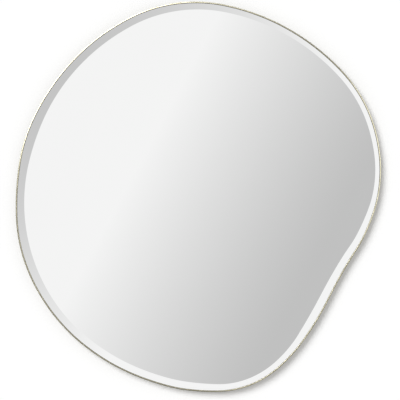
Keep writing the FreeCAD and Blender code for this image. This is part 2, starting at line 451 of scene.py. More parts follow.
@dataclass(frozen=True)
class Silvering(Finish):
    """Polished glass over silver: a near perfect reflection with a breath of haze.

    Attributes:
        tint: What the glass and the silver leave of white light.
        dulled: What a hazed patch leaves of the tint.
        haze: Roughness of a hazed patch.
    """

    tint: tuple = (0.988, 0.990, 0.988)
    dulled: float = 0.997
    haze: float = 0.012
    patch: float = 0.16

    def build(self, on: Swatch) -> dict:
        """Roughness rises in wide soft patches, and the tint dulls a little with it."""
        patches = on.patches(self.patch)
        dulled = tuple(self.dulled * c for c in self.tint)
        return {
            "Base Color": on.graph.blend(patches, self.tint, dulled),
            "Metallic": 1.0,
            "Roughness": on.graph.math("MULTIPLY", patches, self.haze),
        }


@dataclass(frozen=True)
class GroundGlass(Finish):
    """The ground and polished edge of float glass, which looks sea green end on.

    Attributes:
        pale: Colour of its pale patches.
        deep: Colour between them.
        smooth: Roughness between the grinding marks.
        coarse: How much rougher the marks are.
        grain: Width of the marks.
    """

    pale: tuple = (0.50, 0.66, 0.60)
    deep: tuple = (0.22, 0.36, 0.31)
    smooth: float = 0.2
    coarse: float = 0.3
    grain: float = 0.0004
    patch: float = 0.03
    relief: float = 0.00003

    def build(self, on: Swatch) -> dict:
        """Patches lighten the green, and grinding marks roughen it."""
        grain = on.grain(self.grain)
        return {
            "Base Color": on.graph.blend(on.patches(self.patch), self.deep, self.pale),
            "Roughness": on.graph.math("MULTIPLY_ADD", grain, self.coarse, self.smooth),
            "Height": grain,
        }


@dataclass(frozen=True)
class BrushedMetal(Finish):
    """Metal brushed along its length, with wear where its edges are handled.

    Attributes:
        light: Colour of the bright lines.
        dark: Colour of the dull lines.
        worn: Colour of the polished edges.
        smooth: Roughness of the bright lines.
        rough: Roughness of the dull lines.
        fineness: How many times finer the lines are than 0.15 mm.
        cloudy: Share of the patches in the tone, beside the lines.
        wear_from: Value of the patches at and below which the wear is least.
        wear_to: Value at and above which it is most.
        least_wear: The least wear of an edge.
        most_wear: The most.
        edge_layer: Name of the mesh attribute that is 1 on worn edges, or none.
        seam: Half width of the dulled zone at a weld across the lines, or 0 for no weld.
        seam_core: Share of that width that is dulled in full.
        seam_rough: How much rougher the weld is.
        seam_dull: How far the weld's colour goes towards the dull lines'.
    """

    light: tuple = (0.62, 0.58, 0.42)
    dark: tuple = (0.46, 0.425, 0.29)
    worn: tuple = (0.69, 0.66, 0.52)
    smooth: float = 0.14
    rough: float = 0.26
    fineness: float = 1.0
    cloudy: float = 0.3
    wear_from: float = 0.2
    wear_to: float = 0.9
    least_wear: float = 0.25
    most_wear: float = 0.8
    edge_layer: str = ""
    seam: float = 0.0
    seam_core: float = 0.4
    seam_rough: float = 0.18
    seam_dull: float = 0.35
    patch: float = 0.05
    relief: float = 0.000012

    def build(self, on: Swatch) -> dict:
        """Lines carry tone, roughness and height.  Edges are lighter, and a weld is duller."""
        graph = on.graph
        brushed = on.effects.brushing.place(graph, on.vector, Fineness=self.fineness)
        patches = on.patches(self.patch)
        share = graph.weighed(patches, self.cloudy, brushed["Tone"])
        colour = graph.blend(share, self.dark, self.light)
        roughness = graph.ramp(share, 0.0, 1.0, self.rough, self.smooth, smooth=False)
        if self.edge_layer:
            edge = graph.node("ShaderNodeAttribute", attribute_name=self.edge_layer).outputs["Fac"]
            wear = graph.ramp(patches, self.wear_from, self.wear_to, self.least_wear,
                              self.most_wear)
            colour = graph.blend(graph.math("MULTIPLY", edge, wear), colour, self.worn)
        if self.seam:
            aside = graph.math("ABSOLUTE", graph.axis(on.vector, "X"))
            near = graph.ramp(aside, self.seam, self.seam_core * self.seam)
            roughness = graph.math("MULTIPLY_ADD", near, self.seam_rough, roughness)
            dull = graph.math("MULTIPLY", near, self.seam_dull)
            colour = graph.blend(dull, colour, self.dark)
        return {
            "Base Color": colour,
            "Metallic": 1.0,
            "Roughness": roughness,
            "Height": brushed["Lines"],
        }


@dataclass(frozen=True)
class PlatedSteel(Finish):
    """Sheet metal plated after pressing: fairly even, with dull patches and a little dust.

    Attributes:
        bright: Colour of the plating.
        dull: Colour of its dull patches.
        smooth: Roughness of the plating.
        rough: Roughness of its dull patches.
        grain: Width of its fine grain.
        dust: Most share of dust.
        dusty: Colour of the dust.
        dust_rough: How much rougher the dust is.
    """

    bright: tuple = (0.68, 0.58, 0.39)
    dull: tuple = (0.47, 0.39, 0.25)
    smooth: float = 0.27
    rough: float = 0.42
    grain: float = 0.0006
    dust: float = 0.22
    dusty: tuple = (0.55, 0.53, 0.5)
    dust_rough: float = 0.4
    patch: float = 0.012
    relief: float = 0.00002

    def build(self, on: Swatch) -> dict:
        """Patches mix bright and dull, over a fine grain, with a little dust."""
        graph = on.graph
        patches, dust = on.patches(self.patch), on.dust(self.dust)
        plated = graph.blend(patches, self.dull, self.bright)
        roughness = graph.ramp(patches, 0.0, 1.0, self.rough, self.smooth)
        return {
            "Base Color": graph.blend(dust, plated, self.dusty),
            "Metallic": graph.math("SUBTRACT", 1.0, dust),
            "Roughness": graph.math("MULTIPLY_ADD", dust, self.dust_rough, roughness),
            "Height": on.grain(self.grain),
        }


@dataclass(frozen=True)
class PaintedBoard(Finish):
    """Black paint rolled on fibreboard: a low orange peel, thin spots, rub marks and dust.

    Attributes:
        paint: Colour of the paint.
        thin: Colour where it is thin.
        thinness: How far a patch's colour goes towards that.
        scuff: Colour of the rub marks.
        scuffing: How far a mark's colour goes towards that.
        rubs: How often the marks come along each axis, per metre.
        rub_edges: Noise where a mark starts, and where it is full.
        smooth: Roughness of the paint.
        rough: Roughness where it is thin.
        peel: Width of the peel's bumps.
        dust: Most share of dust.
        dusty: Colour of the dust.
    """

    paint: tuple = (0.022, 0.022, 0.024)
    thin: tuple = (0.055, 0.048, 0.042)
    thinness: float = 0.5
    scuff: tuple = (0.13, 0.125, 0.12)
    scuffing: float = 0.3
    rubs: tuple = (18.0, 40.0, 150.0)
    rub_edges: tuple = (0.62, 0.74)
    smooth: float = 0.52
    rough: float = 0.66
    peel: float = 0.0016
    dust: float = 0.16
    dusty: tuple = (0.42, 0.40, 0.37)
    patch: float = 0.11
    relief: float = 0.00012

    def build(self, on: Swatch) -> dict:
        """Peel of about 1.5 mm, patches of a hand's width, and dust on top."""
        graph = on.graph
        patches = on.patches(self.patch)
        rubs = graph.noise(graph.stretched(on.vector, self.rubs), detail=4.0, roughness=0.6)
        thin = graph.math("MULTIPLY", patches, self.thinness)
        marks = graph.math("MULTIPLY", graph.ramp(rubs, *self.rub_edges), self.scuffing)
        painted = graph.blend(thin, self.paint, self.thin)
        scuffed = graph.blend(marks, painted, self.scuff)
        return {
            "Base Color": graph.blend(on.dust(self.dust), scuffed, self.dusty),
            "Roughness": graph.ramp(patches, 0.0, 1.0, self.smooth, self.rough),
            "Height": on.grain(self.peel),
        }


@dataclass(frozen=True)
class Moulded(Finish):
    """Rubber, foam, glue, film or paint: one colour with fine grain and soft patches.

    Attributes:
        main: Its colour.
        other: Colour that the patches tend to.
        grain: Width of the grain.
        roughness: Mean roughness.
        uneven: How far the patches' roughness lies from it.
        dust: Most share of dust.
        dusty: Colour of the dust.
        sheen: Even sheen of a soft surface.
    """

    main: tuple = (0.03, 0.03, 0.03)
    other: tuple = (0.05, 0.05, 0.05)
    grain: float = 0.0006
    roughness: float = 0.6
    uneven: float = 0.07
    dust: float = 0.15
    dusty: tuple = (0.5, 0.48, 0.45)
    sheen: float = 0.0

    def build(self, on: Swatch) -> dict:
        """Patches move colour and roughness, and the grain is a bump."""
        graph = on.graph
        patches = on.patches(self.patch)
        body = graph.blend(patches, self.main, self.other)
        low, high = self.roughness - self.uneven, self.roughness + self.uneven
        return {
            "Base Color": graph.blend(on.dust(self.dust), body, self.dusty),
            "Roughness": graph.ramp(patches, 0.0, 1.0, low, high),
            "Sheen Weight": self.sheen,
            "Height": on.grain(self.grain),
        }


# ---------------------------------------------------------------- nets and meshes

@dataclass(frozen=True)
class Net:
    """A net of points, which may close on itself along or across.

    Attributes:
        points: Array of n by m points.
        along: Measure at each of the n steps, and one more where the net closes along.
        across: Measure at each of the m steps, and one more where it closes across.
        sides: Material number of each strip of faces across, or one number for all.
        worn: Share of wear at each of the m steps, or one for all.
    """

    points: np.ndarray
    along: np.ndarray
    across: np.ndarray
    sides: np.ndarray | int = 0
    worn: np.ndarray | float = 0.0

    def faces(self) -> tuple[np.ndarray, np.ndarray, np.ndarray]:
        """Work out the four-sided faces.

        The face at step (i, j) joins the points (i, j), (i, j + 1), (i + 1, j + 1), (i + 1, j),
        where a step past the last point of a closed side comes back to the first.

        Returns:
            The corners' point numbers, the corners' measures and the faces' material numbers.
        """
        rows, columns = self.points.shape[:2]
        i, j = np.indices((len(self.along) - 1, len(self.across) - 1)).reshape(2, -1)
        steps_i = np.stack([i, i, i + 1, i + 1], 1)
        steps_j = np.stack([j, j + 1, j + 1, j], 1)
        corners = (steps_i % rows) * columns + steps_j % columns
        measures = np.stack([self.along[steps_i], self.across[steps_j]], 2)
        return corners, measures, np.broadcast_to(self.sides, len(self.across) - 1)[j]


class Piece:
    """A visible piece made of one or more nets.

    Attributes:
        MERGE: Points nearer to each other than this become one.
        CREASE: Degrees from which an edge is shaded as a sharp one.
    """

    MERGE = 1e-7
    CREASE = 32.0

    def __init__(self, name: str, nets: list[Net], finishes: list[Material]) -> None:
        """Build the mesh, weld its seams and poles, and turn its faces outwards.

        Args:
            name: Name of the piece.
            nets: Its nets, in any order.
            finishes: Its materials, by number.
        """
        parts, count = [], 0
        for net in nets:
            numbers, measures, sides = net.faces()
            worn = np.broadcast_to(net.worn, net.points.shape[:2]).ravel()
            parts.append((net.points.reshape(-1, 3), numbers + count, measures, sides, worn))
            count += len(worn)
        points, corners, measures, sides, worn = map(np.concatenate, zip(*parts))
        mesh = bpy.data.meshes.new(name)
        mesh.from_pydata(points.tolist(), [], corners.tolist())
        mesh.polygons.foreach_set("material_index", sides.astype(np.int32))
        flat = measures.astype(np.float32).reshape(-1)
        mesh.uv_layers.new(name="surface_metres").data.foreach_set("uv", flat)
        layer = mesh.attributes.new("worn_edge", "FLOAT", "POINT")
        layer.data.foreach_set("value", worn.astype(np.float32))
        self.weld(mesh)
        for finish in finishes:
            mesh.materials.append(finish)
        self.object = bpy.data.objects.new(name, mesh)
        bpy.context.scene.collection.objects.link(self.object)

    @classmethod
    def weld(cls, mesh: bpy.types.Mesh) -> None:
        """Merge coinciding points, so that seams and poles close, and turn the faces outwards.

        Faces are shaded smoothly, except across the creases.

        Args:
            mesh: The mesh, which is changed.
        """
        work = bmesh.new()
        work.from_mesh(mesh)
        bmesh.ops.remove_doubles(work, verts=work.verts, dist=cls.MERGE)
        bmesh.ops.dissolve_degenerate(work, edges=work.edges, dist=cls.MERGE)
        bmesh.ops.recalc_face_normals(work, faces=work.faces)
        for face in work.faces:
            face.smooth = True
        work.to_mesh(mesh)
        work.free()
        mesh.set_sharp_from_angle(angle=math.radians(cls.CREASE))

    def settle(self, slot: Slot, *nodes: str) -> "Piece":
        """Let the piece ride on the mirror, and stand for the CAD nodes that it replaces.

        Args:
            slot: The record's material slot; not used.
            nodes: Names of the nodes that it stands for.

        Returns:
            The piece itself.
        """
        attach(self.object, ROOT)
        if nodes:
            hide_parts(*nodes)
        triangles = sum(len(face.vertices) - 2 for face in self.object.data.polygons)
        LOG.info("%s: %d triangles, stands for %s", self.object.name, triangles,
                 list(nodes) or "no node")
        return self


def names_from(start: str) -> list[str]:
    """Give the names of the CAD nodes that start in one way, in order."""
    return sorted(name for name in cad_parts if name.startswith(start))


def node_points(name: str) -> np.ndarray:
    """Give the points of a CAD node's mesh, each once.

    Args:
        name: The node.

    Returns:
        Array of n points.
    """
    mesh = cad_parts[name].data
    flat = np.empty(3 * len(mesh.vertices), np.float32)
    mesh.vertices.foreach_get("co", flat)
    return np.unique(flat.reshape(-1, 3).round(7), axis=0).astype(float)


def points_at(name: str, depth: float) -> np.ndarray:
    """Give X and Z of a CAD node's points at one depth."""
    points = node_points(name)
    return points[np.abs(points[:, 1] - depth) < LEVEL][:, [0, 2]]


def node_box(name: str) -> tuple[np.ndarray, np.ndarray]:
    """Give the lowest and highest corner of a CAD node."""
    low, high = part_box(name)
    return np.array(low), np.array(high)


def unit(vectors: np.ndarray) -> np.ndarray:
    """Give flat vectors the length 1."""
    return vectors / np.hypot(*vectors.T)[:, None]


def raised(flat: np.ndarray, depth: object) -> np.ndarray:
    """Put points that are given by X and Z at a depth, or each at its own."""
    return np.stack([flat[..., 0], np.broadcast_to(depth, flat.shape[:-1]), flat[..., 1]], -1)


def run_along(points: np.ndarray) -> np.ndarray:
    """Give the length along a row of points up to each of them."""
    steps = np.linalg.norm(np.diff(points, axis=0), axis=1)
    return np.concatenate([[0], np.cumsum(steps)])


def revolved(centre: np.ndarray, radii: np.ndarray, depths: np.ndarray, steps: int) -> Net:
    """Turn a profile about a line along Y.

    The point at angle a and step k is the centre plus radius k times (cos a, sin a) in X and Z,
    at depth k.

    Args:
        centre: X and Z of the line.
        radii: Radius at each step of the profile, or an array of steps by profile.
        depths: Y at each step of the profile, in the same form.
        steps: Steps round the line.

    Returns:
        The net, closed round the line.
    """
    angle = np.linspace(0, 2 * math.pi, steps + 1)
    turned = angle[:-1, None, None]
    radii, depths = np.broadcast_arrays(np.atleast_2d(radii), np.atleast_2d(depths))
    arms = np.concatenate([np.cos(turned), np.sin(turned)], 2)
    points = raised(centre + radii[..., None] * arms, depths)
    profile = np.stack([radii[0], depths[0]], 1)
    return Net(points, angle * np.abs(radii[0]).max(), run_along(profile))


def corner_arc(centre: tuple, radius: float, start: float, end: float, steps: int) -> np.ndarray:
    """Points of an arc: the centre plus the radius times (cos a, sin a), from start to end."""
    angle = np.radians(np.linspace(start, end, steps))
    return np.array(centre) + radius * np.stack([np.cos(angle), np.sin(angle)], 1)


# ---------------------------------------------------------------- the free-form outline

class Outline:
    """A closed smooth curve round the mirror, anticlockwise as the viewer sees it.

    Between two points that were read from a node, the curve is a cubic whose tangent at each
    point is that of the circle through the point and its two neighbours.

    Attributes:
        FINE: Steps of the curve from one point to the next.
        LEAST: A point nearer to the next one than this is left out.
    """

    FINE = 48
    LEAST = 0.02 * MM

    def __init__(self, points: np.ndarray) -> None:
        """Put the points in order and work the curve out finely.

        Args:
            points: X and Z of points on the curve, in any order.
        """
        points = points[np.argsort(np.arctan2(points[:, 1], points[:, 0]))]
        gap = np.hypot(*(np.roll(points, -1, 0) - points).T)
        points = points[gap > self.LEAST]
        back = points - np.roll(points, 1, 0)
        ahead = np.roll(points, -1, 0) - points
        long_back = np.hypot(*back.T)[:, None]
        long_ahead = np.hypot(*ahead.T)[:, None]
        tangent = unit(back * long_ahead / long_back + ahead * long_back / long_ahead)
        t = np.linspace(0, 1, self.FINE, endpoint=False)[None, :, None]
        start, end = points[:, None], np.roll(points, -1, 0)[:, None]
        leave = (tangent * long_ahead)[:, None]
        arrive = (np.roll(tangent, -1, 0) * long_ahead)[:, None]
        curve = ((2 * t ** 3 - 3 * t ** 2 + 1) * start + (t ** 3 - 2 * t ** 2 + t) * leave
                 + (3 * t ** 2 - 2 * t ** 3) * end + (t ** 3 - t ** 2) * arrive).reshape(-1, 2)
        lowest = np.argmin(np.abs(np.arctan2(curve[:, 1], curve[:, 0]) + math.pi / 2))
        curve = np.roll(curve, -lowest, 0)
        self.closed = np.vstack([curve, curve[:1]])
        self.run = run_along(self.closed)
        self.length = float(self.run[-1])

    def at(self, places: np.ndarray) -> np.ndarray:
        """Points of the curve at given lengths along it from its lowest point."""
        places = np.mod(places, self.length)
        return np.stack([np.interp(places, self.run, self.closed[:, k]) for k in (0, 1)], 1)

    def outward(self, places: np.ndarray, reach: float) -> np.ndarray:
        """Find the directions out of the mirror, square to the curve.

        Args:
            places: Lengths along the curve.
            reach: How far to both sides of each the curve's direction is taken.

        Returns:
            Unit vectors.
        """
        heading = unit(self.at(places + reach) - self.at(places - reach))
        return np.stack([heading[:, 1], -heading[:, 0]], 1)

    def stations(self, count: int) -> tuple[np.ndarray, np.ndarray, np.ndarray]:
        """Spread stations evenly along the curve.

        Args:
            count: Number of stations.

        Returns:
            Their places along the curve with the closing one, their points, and the unit
            vectors that point out of the mirror there.
        """
        places = np.linspace(0, self.length, count + 1)
        outward = self.outward(places[:-1], self.length / count / 2)
        return places, self.at(places[:-1]), outward

    def place_of(self, points: np.ndarray) -> tuple[np.ndarray, np.ndarray]:
        """Find the nearest place along the curve.

        Args:
            points: X and Z of each point.

        Returns:
            The nearest place to each point, and the distance to it.
        """
        away = np.hypot(*(points[:, None] - self.closed[None, :-1]).transpose(2, 0, 1))
        nearest = away.argmin(1)
        return self.run[nearest], away[np.arange(len(points)), nearest]


def glass_outline(depth: float) -> Outline:
    """Read the glass's outline at a depth."""
    return Outline(points_at(GLASS, depth))


def rim_outline(outer: bool) -> Outline:
    """Read one of the rim's two outlines, which differ in how far they lie from the glass.

    Args:
        outer: Take the outer outline, or else the inner one.

    Returns:
        The smooth outline through the rim's points at its rear edge.
    """
    points = points_at(RIM, node_box(RIM)[1][1])
    away = glass_outline(node_box(GLASS)[1][1]).place_of(points)[1]
    middle = (away.min() + away.max()) / 2
    return Outline(points[(away > middle) == outer])


# ---------------------------------------------------------------- the glass

@dataclass
class MirrorGlass:
    """The silvered glass: a flat face, a ground facet of uneven width, and its edge.

    Attributes:
        stations: Steps round the outline.
        ridge: Half width of the rounded ridge between the flat and the facet.
        arris: Width of the small chamfer at the facet's foot.
        widest: A width that the facet never reaches.
        ridge_rows: Rows across the rounded ridge.
        facet_rows: Rows across the facet.
        edge_rows: Rows across the edge.
        flat_rows: Rows from the middle to the ridge.
        spacing: Power that moves these rows outwards where it is under 1.
        depths: Depths of the node's four outlines: front, facet's foot, back arris, back.
    """

    stations: int = 1080
    ridge: float = 0.22 * MM
    arris: float = 0.15 * MM
    widest: float = 40 * MM
    ridge_rows: int = 5
    facet_rows: int = 5
    edge_rows: int = 4
    flat_rows: int = 4
    spacing: float = 0.7
    depths: np.ndarray = field(init=False)

    def __post_init__(self) -> None:
        """Read the depths: those where many of the node's points lie."""
        levels, count = np.unique(node_points(GLASS)[:, 1].round(6), return_counts=True)
        self.depths = levels[count > count.max() / 3]

    def facet_widths(self, points: np.ndarray, outward: np.ndarray) -> np.ndarray:
        """Measure the facet from each station on the edge, square to it, to the ridge.

        Of all points of the ridge, the one that lies nearest to the inward line through the
        station is taken, and its distance along that line is the width.

        Args:
            points: Stations on the edge of the glass.
            outward: Unit vectors out of the mirror there.

        Returns:
            The width at each station.
        """
        to_ridge = glass_outline(self.depths[0]).closed[None, :-1] - points[:, None]
        inward = -(to_ridge * outward[:, None]).sum(2)
        aside = np.abs(to_ridge[..., 0] * outward[:, None, 1]
                       - to_ridge[..., 1] * outward[:, None, 0])
        aside[(inward < 0) | (inward > self.widest)] = 1.0
        return inward[np.arange(len(points)), aside.argmin(1)]

    def net(self) -> Net:
        """Carry the glass's profile round the outline.

        Rows run from the middle of the face over the ridge, down the facet, over the edge and
        back to the middle behind.  On the facet the depth falls in proportion to the distance
        from the ridge.  The ridge is a parabola that touches the flat and the facet.

        Returns:
            The net, whose first and last rows are poles.
        """
        front, foot, back_arris, back = self.depths
        places, points, outward = glass_outline(foot).stations(self.stations)
        width = self.facet_widths(points, outward)
        slope = (foot - front) / width
        rows, sides = [], []

        def add(inset: object, depth: object, side: GlassSide) -> None:
            """Add a row at an inset from the edge and a depth."""
            inset = np.broadcast_to(inset, width.shape)[:, None]
            rows.append(raised(points - outward * inset, depth))
            sides.append(side)

        add(width + 2 * self.ridge, front, GlassSide.SILVERED)
        for turn in np.linspace(-1, 1, self.ridge_rows):
            fall = slope * self.ridge * (1 + turn) ** 2 / 4
            add(width - self.ridge * turn, front + fall, GlassSide.SILVERED)
        for inset in np.linspace(width - 2 * self.ridge, self.arris, self.facet_rows):
            add(inset, foot - slope * inset, GlassSide.SILVERED)
        add(0.0, foot + self.arris, GlassSide.GROUND)
        for depth in np.linspace(foot + 2 * self.arris, back_arris, self.edge_rows):
            add(0.0, depth, GlassSide.GROUND)
        add(back - back_arris, back, GlassSide.GROUND)

        middle = points.mean(0)
        share = np.linspace(0, 1, self.flat_rows, endpoint=False) ** self.spacing
        face = [self.towards(middle, rows[0], front, s) for s in share]
        rear = [self.towards(middle, rows[-1], back, s) for s in share[::-1]]
        sides = [GlassSide.SILVERED] * len(face) + sides[:-1] + [GlassSide.PAINTED] * len(rear)
        net = np.stack(face + rows + rear, 1)
        return Net(net, places, run_along(net[0]), np.array(sides, int))

    @staticmethod
    def towards(middle: np.ndarray, row: np.ndarray, depth: float, share: float) -> np.ndarray:
        """A flat row that is a share of the way from the middle to another row."""
        return raised(middle + (row[:, [0, 2]] - middle) * share, depth)

    def build(self, silver: Material, ground: Material, paint: Material) -> Piece:
        """Make the piece in place of its node."""
        piece = Piece("silvered_glass", [self.net()], [silver, ground, paint])
        return piece.settle(Slot.MIRROR, GLASS)


# ---------------------------------------------------------------- the rim

@dataclass
class RimBand:
    """Flat bar on edge, bent round the outline and welded shut at the bottom.

    Attributes:
        stations: Steps round the outline.
        outer_round: Radius of the front corner on the outside.
        inner_round: Radius of the front corner beside the glass.
        rear_round: Radius of the two rear corners.
        corner_steps: Points on each corner's arc.
        side_steps: Points on each long side between its corners.
    """

    stations: int = 1400
    outer_round: float = 2.4 * MM
    inner_round: float = 0.25 * MM
    rear_round: float = 0.3 * MM
    corner_steps: int = 9
    side_steps: int = 5

    def section(self, thickness: float, front: float,
                rear: float) -> tuple[np.ndarray, np.ndarray, np.ndarray]:
        """Work out the bar's closed section: four corner arcs joined by straight sides.

        The points of a side are spaced as 1 - cos a, so that they crowd towards its corners.
        The wear is the root of a sine over each corner, and nothing on the sides.

        Args:
            thickness: Thickness of the bar.
            front: Depth of its front edge.
            rear: Depth of its rear edge.

        Returns:
            Distance outwards from the bar's middle and depth at each point, the wear there and
            the side that the strip after it belongs to.
        """
        half = thickness / 2
        a, b, c = self.outer_round, self.rear_round, self.inner_round
        steps = self.corner_steps
        corners = [
            corner_arc((half - a, front + a), a, -90, 0, steps),
            corner_arc((half - b, rear - b), b, 0, 90, steps),
            corner_arc((b - half, rear - b), b, 90, 180, steps),
            corner_arc((c - half, front + c), c, 180, 270, steps),
        ]
        share = (1 - np.cos(np.linspace(0, math.pi, self.side_steps + 2)[1:-1, None])) / 2
        parts, wear, sides = [], [], []
        for k, corner in enumerate(corners):
            straight = corner[-1] + (corners[(k + 1) % 4][0] - corner[-1]) * share
            parts += [corner, straight]
            wear += [np.sin(np.linspace(0, math.pi, steps)) ** 0.5, np.zeros(len(straight))]
            # The inner wall beside the glass gets its own finish, whose dark colour is painted
            # shade for the gap between glass and rim.
            inner = RimSide.INNER if k == 2 else RimSide.BRUSHED
            sides += [RimSide.BRUSHED] * (steps - 1) + [inner] * (len(straight) + 1)
        return np.concatenate(parts), np.concatenate(wear), np.array(sides, int)

    def net(self) -> Net:
        """Carry the section along the middle line of the bar.

        The point at station s and section step k is the station's point plus its outward
        vector times the step's distance, at the step's depth.

        Returns:
            The net, closed both ways.
        """
        low, high = node_box(RIM)
        outer, inner = rim_outline(outer=True), rim_outline(outer=False)
        places, points, outward = outer.stations(self.stations)
        thickness = float(np.median(inner.place_of(points[::20])[1]))
        LOG.info("rim: %.2f mm thick, %.1f mm round", thickness / MM, outer.length / MM)
        section, wear, sides = self.section(thickness, low[1], high[1])
        reach = section[:, 0] - thickness / 2
        flat = points[:, None] + outward[:, None] * reach[None, :, None]
        girth = run_along(np.vstack([section, section[:1]]))
        return Net(raised(flat, section[:, 1]), places, girth, sides, wear)

    def build(self, brass: Material, inner: Material) -> Piece:
        """Make the piece in place of its node."""
        return Piece("brushed_rim", [self.net()], [brass, inner]).settle(Slot.RIM, RIM)


# ---------------------------------------------------------------- fasteners and bumpers

@dataclass
class TabScrews:
    """Countersunk wood screws with a cross recess, one through each tab.

    Attributes:
        steps: Steps round a screw.
        rings: Steps along the shank.
        widest: A radius that the head never reaches.
        recess_reach: Length of each arm of the cross from the middle.
        recess_half: Half width of an arm.
        recess_depth: Depth of the cross in the middle.
        recess_rise: Share of that depth that is lost at the arms' ends.
        recess_wall: Width of the cross's wall, seen from above.
        edge: Height of the head's blunt edge.
        cone: Depth of the cone under the head.
        lead: Space before the first ring of the cone and that of the shank.
        shank: Radius over the thread, as a share of the head's.
        pitch: Rise of the thread in one turn.
        thread: Height of the thread.
        flanks: How many times the thread's half width goes into its pitch.
        point: Length of the point.
        blunt: Power that makes the point blunt where it is under 1.
        turn: Angle from one screw's cross to the next one's, in radians.
    """

    steps: int = 72
    rings: int = 56
    widest: float = 6 * MM
    recess_reach: float = 1.75 * MM
    recess_half: float = 0.36 * MM
    recess_depth: float = 0.95 * MM
    recess_rise: float = 0.35
    recess_wall: float = 0.24 * MM
    edge: float = 0.05 * MM
    cone: float = 1.5 * MM
    lead: float = 0.2 * MM
    shank: float = 0.5
    pitch: float = 1.1 * MM
    thread: float = 0.28 * MM
    flanks: float = 3.2
    point: float = 2.2 * MM
    blunt: float = 0.7
    turn: float = 2.4

    def centres(self) -> list[np.ndarray]:
        """Find the screws: each is the middle of the group's points within a tab's box.

        Returns:
            X and Z of each screw.
        """
        points = node_points(SCREWS)[:, [0, 2]]
        found = []
        for tab in names_from(TABS):
            low, high = (corner[[0, 2]] for corner in node_box(tab))
            flat = points[((points > low) & (points < high)).all(1)]
            found.append((flat.min(0) + flat.max(0)) / 2)
        return found

    def head(self, centre: np.ndarray, radius: float, top: float, turn: float) -> Net:
        """Make the flat top with its cross recess, as a depth over radius and angle.

        The cross is the union of two slots.  A point's distance to it is the least, over the
        two slots, of how far the point lies outside the slot's half width and reach.  The
        recess's depth eases from full inside to none outside over a short wall.  The rings lie
        closer over the cross than beside it.

        Args:
            centre: X and Z of the screw.
            radius: Radius of the head.
            top: Depth of its face.
            turn: Angle of the cross.

        Returns:
            The net, from the middle to the edge.
        """
        share = np.concatenate([np.linspace(0, 0.62, 14), np.linspace(0.66, 0.94, 6),
                                [0.985, 1.0]])
        r = share * radius
        angle = np.linspace(0, 2 * math.pi, self.steps + 1)[:-1, None] + turn
        x, z = np.abs(r * np.cos(angle)), np.abs(r * np.sin(angle))
        first = np.maximum(z - self.recess_half, x - self.recess_reach)
        second = np.maximum(x - self.recess_half, z - self.recess_reach)
        inside = np.clip(0.5 - np.minimum(first, second) / self.recess_wall, 0, 1)
        eased = inside * inside * (3 - 2 * inside)
        sunk = self.recess_depth * eased * (1 - self.recess_rise * r / self.recess_reach)
        edge = np.where(share == 1, self.edge, 0.0)
        return revolved(centre, r, top - np.clip(sunk, 0, None) - edge, self.steps)

    def body(self, centre: np.ndarray, radius: float, top: float, length: float) -> Net:
        """Make the cone under the head and the threaded shank down to its point.

        The radius falls in a straight line under the head, then carries a ridge that climbs by
        the pitch in each turn, and shrinks to nothing over the point.

        Args:
            centre: X and Z of the screw.
            radius: Radius of the head.
            top: Depth of its face.
            length: Length of the whole screw.

        Returns:
            The net, from the head's edge to the point.
        """
        core = self.shank * radius - self.thread
        down = np.concatenate([[self.edge], np.linspace(self.lead, self.cone, 4),
                               np.linspace(self.cone + self.lead, length, self.rings)])
        angle = np.linspace(0, 2 * math.pi, self.steps + 1)[:-1, None]
        phase = (down / self.pitch + angle / (2 * math.pi)) % 1
        ridge = self.thread * np.clip(1 - np.abs(phase - 0.5) * self.flanks, 0, 1)
        cone = radius + (core - radius) * np.clip(down / self.cone, 0, 1)
        ridge = np.where(down > self.cone, ridge, 0.0)
        taper = np.clip((length - down) / self.point, 0, 1) ** self.blunt
        return revolved(centre, (cone + ridge) * taper, top - down, self.steps)

    def build(self, zinc: Material) -> Piece:
        """Make the group of screws in place of its node, each turned differently.

        Args:
            zinc: Its material.

        Returns:
            The piece.
        """
        low, high = node_box(SCREWS)
        top, length = high[1], high[1] - low[1]
        heads = points_at(SCREWS, top)
        nets = []
        for number, centre in enumerate(self.centres()):
            away = np.hypot(*(heads - centre).T)
            radius = float(away[away < self.widest].max())
            nets.append(self.head(centre, radius, top, self.turn * number))
            nets.append(self.body(centre, radius, top, length))
        return Piece("cross_head_screws", nets, [zinc]).settle(Slot.SCREW, SCREWS)


